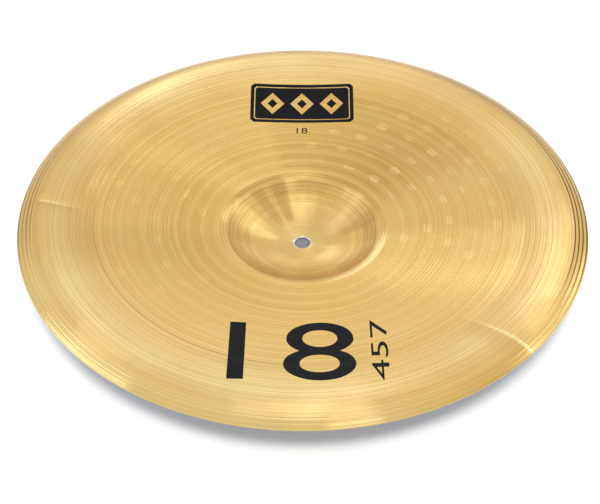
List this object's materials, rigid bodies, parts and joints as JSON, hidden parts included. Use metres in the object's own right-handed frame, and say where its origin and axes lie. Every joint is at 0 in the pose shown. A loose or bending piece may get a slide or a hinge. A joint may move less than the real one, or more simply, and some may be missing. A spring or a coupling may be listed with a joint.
{
  "type": "china cymbal",
  "caption": "Round brass china cymbal with a bell, a bow, an edge flange that turns back and a centre hole, lying on its bell.",
  "frame": {"origin": "on the cymbal's axis, at the outside face of the bell's crown, which is the lowest point as it lies", "axes": "+Z along the axis of revolution, up out of the inside of the bell; X and Y in the plane of the rim, -Y towards the camera of the picture"},
  "size_m": [0.4568, 0.4568, 0.0407],
  "materials": {
    "lathed_brass": "turned with fine round grooves, hammered, clear and bright"
  },
  "bodies": {
    "root": {"cymbal": "lathed_brass"}
  },
  "joints": []
}
